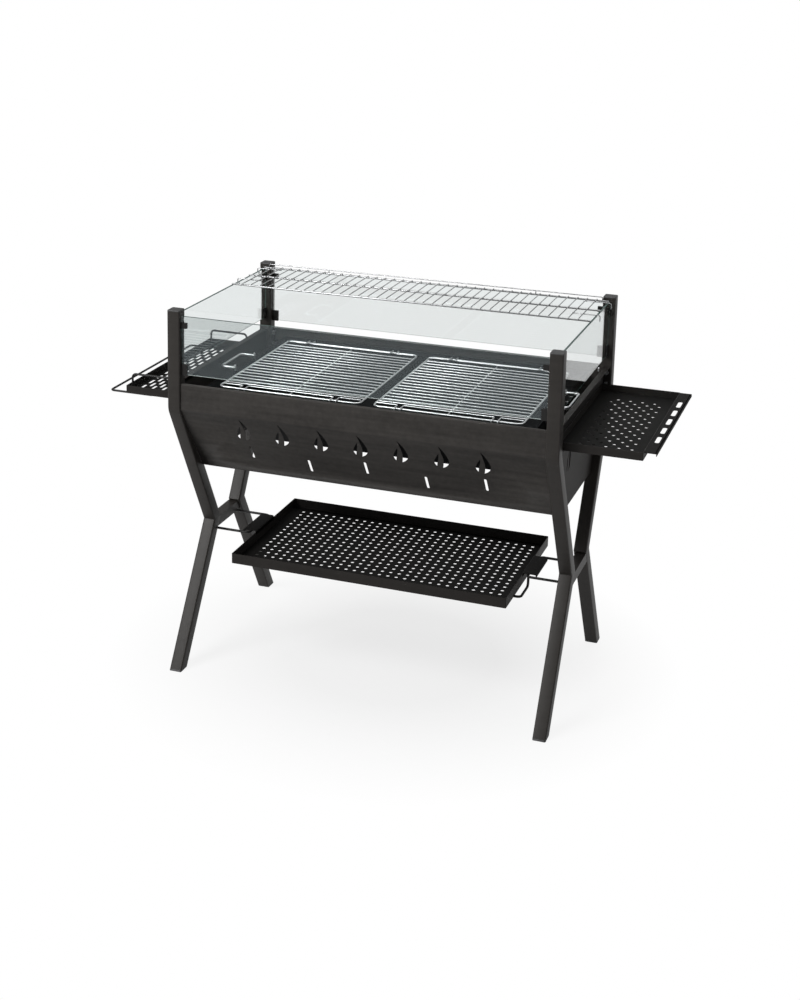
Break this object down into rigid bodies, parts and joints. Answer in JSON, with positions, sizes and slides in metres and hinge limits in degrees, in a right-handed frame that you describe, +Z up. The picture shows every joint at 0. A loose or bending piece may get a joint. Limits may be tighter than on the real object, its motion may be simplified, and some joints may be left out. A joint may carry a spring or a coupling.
{
  "type": "charcoal grill",
  "caption": "Free-standing charcoal grill: bent-tube stand, V-shaped firebox with flame vents, glass screens, wire grates, warming rack and lift-off shelves.",
  "frame": {"origin": "on the floor, under the middle of the whole outline with both side shelves", "axes": "+X along the grill to its right-hand shelf, -Y to its front, +Z up"},
  "size_m": [1.2726, 0.562, 0.8748],
  "materials": {
    "black_coat": "matte black powder coat on sheet and tube",
    "black_wire": "satin black coated wire",
    "pan_enamel": "heat-proof black coat",
    "chrome_wire": "bright chrome-plated wire",
    "glass": "clear toughened glass, polished edges",
    "clip_black": "black coated steel clip",
    "cap_plastic": "black moulded plastic",
    "zinc_steel": "zinc-plated steel"
  },
  "bodies": {
    "stand": {"bottom_bracket_left": "black_wire", "bottom_bracket_right": "black_wire", "bottom_stay_left": "black_wire", "bottom_stay_right": "black_wire", "crossbar_left": "black_coat", "crossbar_right": "black_coat", "firebox_back_panel": "black_coat", "firebox_front_panel": "black_coat", "firebox_left_panel": "black_coat", "firebox_right_panel": "black_coat", "foot_caps": "cap_plastic", "glass_back": "glass", "glass_clips_lower": "clip_black", "glass_clips_upper": "clip_black", "glass_front": "glass", "glass_left": "glass", "glass_right": "glass", "leg_back_left": "black_coat", "leg_back_right": "black_coat", "leg_front_left": "black_coat", "leg_front_right": "black_coat", "leg_joiners": "zinc_steel", "pan_ledge_back": "pan_enamel", "pan_ledge_front": "pan_enamel", "panel_bolts": "zinc_steel", "post_back_left": "black_coat", "post_back_right": "black_coat", "post_caps": "cap_plastic", "post_front_left": "black_coat", "post_front_right": "black_coat", "shelf_straps_left": "black_coat", "shelf_straps_right": "black_coat"},
    "pan": {"charcoal_pan": "pan_enamel", "pan_handle_left": "chrome_wire", "pan_handle_right": "chrome_wire"},
    "left_grate": {"grate_frame_left": "chrome_wire", "grate_wires_left": "chrome_wire", "grate_bearers_left": "chrome_wire"},
    "right_grate": {"grate_frame_right": "chrome_wire", "grate_wires_right": "chrome_wire", "grate_bearers_right": "chrome_wire"},
    "rack": {"warming_rack": "chrome_wire", "warming_rack_guard": "chrome_wire", "warming_rack_hooks": "chrome_wire"},
    "left_shelf": {"left_shelf_floor": "black_coat", "left_shelf_loop": "black_wire", "left_shelf_rail_back": "black_wire", "left_shelf_rail_front": "black_wire", "left_shelf_rim": "black_coat"},
    "right_shelf": {"right_shelf_floor": "black_coat", "right_shelf_rim": "black_coat", "right_shelf_tool_ledge": "black_coat"},
    "bottom_shelf": {"bottom_shelf_floor": "black_coat", "bottom_shelf_rim": "black_coat"}
  },
  "joints": [
    {"name": "pan_lift", "type": "slide", "parent": "stand", "child": "pan", "axis": [0, 0, 1], "range_m": [0, 0.06]},
    {"name": "left_grate_lift", "type": "slide", "parent": "pan", "child": "left_grate", "axis": [0, 0, 1], "range_m": [0, 0.08]},
    {"name": "right_grate_lift", "type": "slide", "parent": "pan", "child": "right_grate", "axis": [0, 0, 1], "range_m": [0, 0.08]},
    {"name": "rack_lift", "type": "slide", "parent": "stand", "child": "rack", "axis": [0, 0, 1], "range_m": [0, 0.06]},
    {"name": "left_shelf_lift", "type": "slide", "parent": "stand", "child": "left_shelf", "axis": [0, 0, 1], "range_m": [0, 0.032]},
    {"name": "right_shelf_lift", "type": "slide", "parent": "stand", "child": "right_shelf", "axis": [0, 0, 1], "range_m": [0, 0.032]},
    {"name": "bottom_shelf_lift", "type": "slide", "parent": "stand", "child": "bottom_shelf", "axis": [0, 0, 1], "range_m": [0, 0.1]}
  ]
}
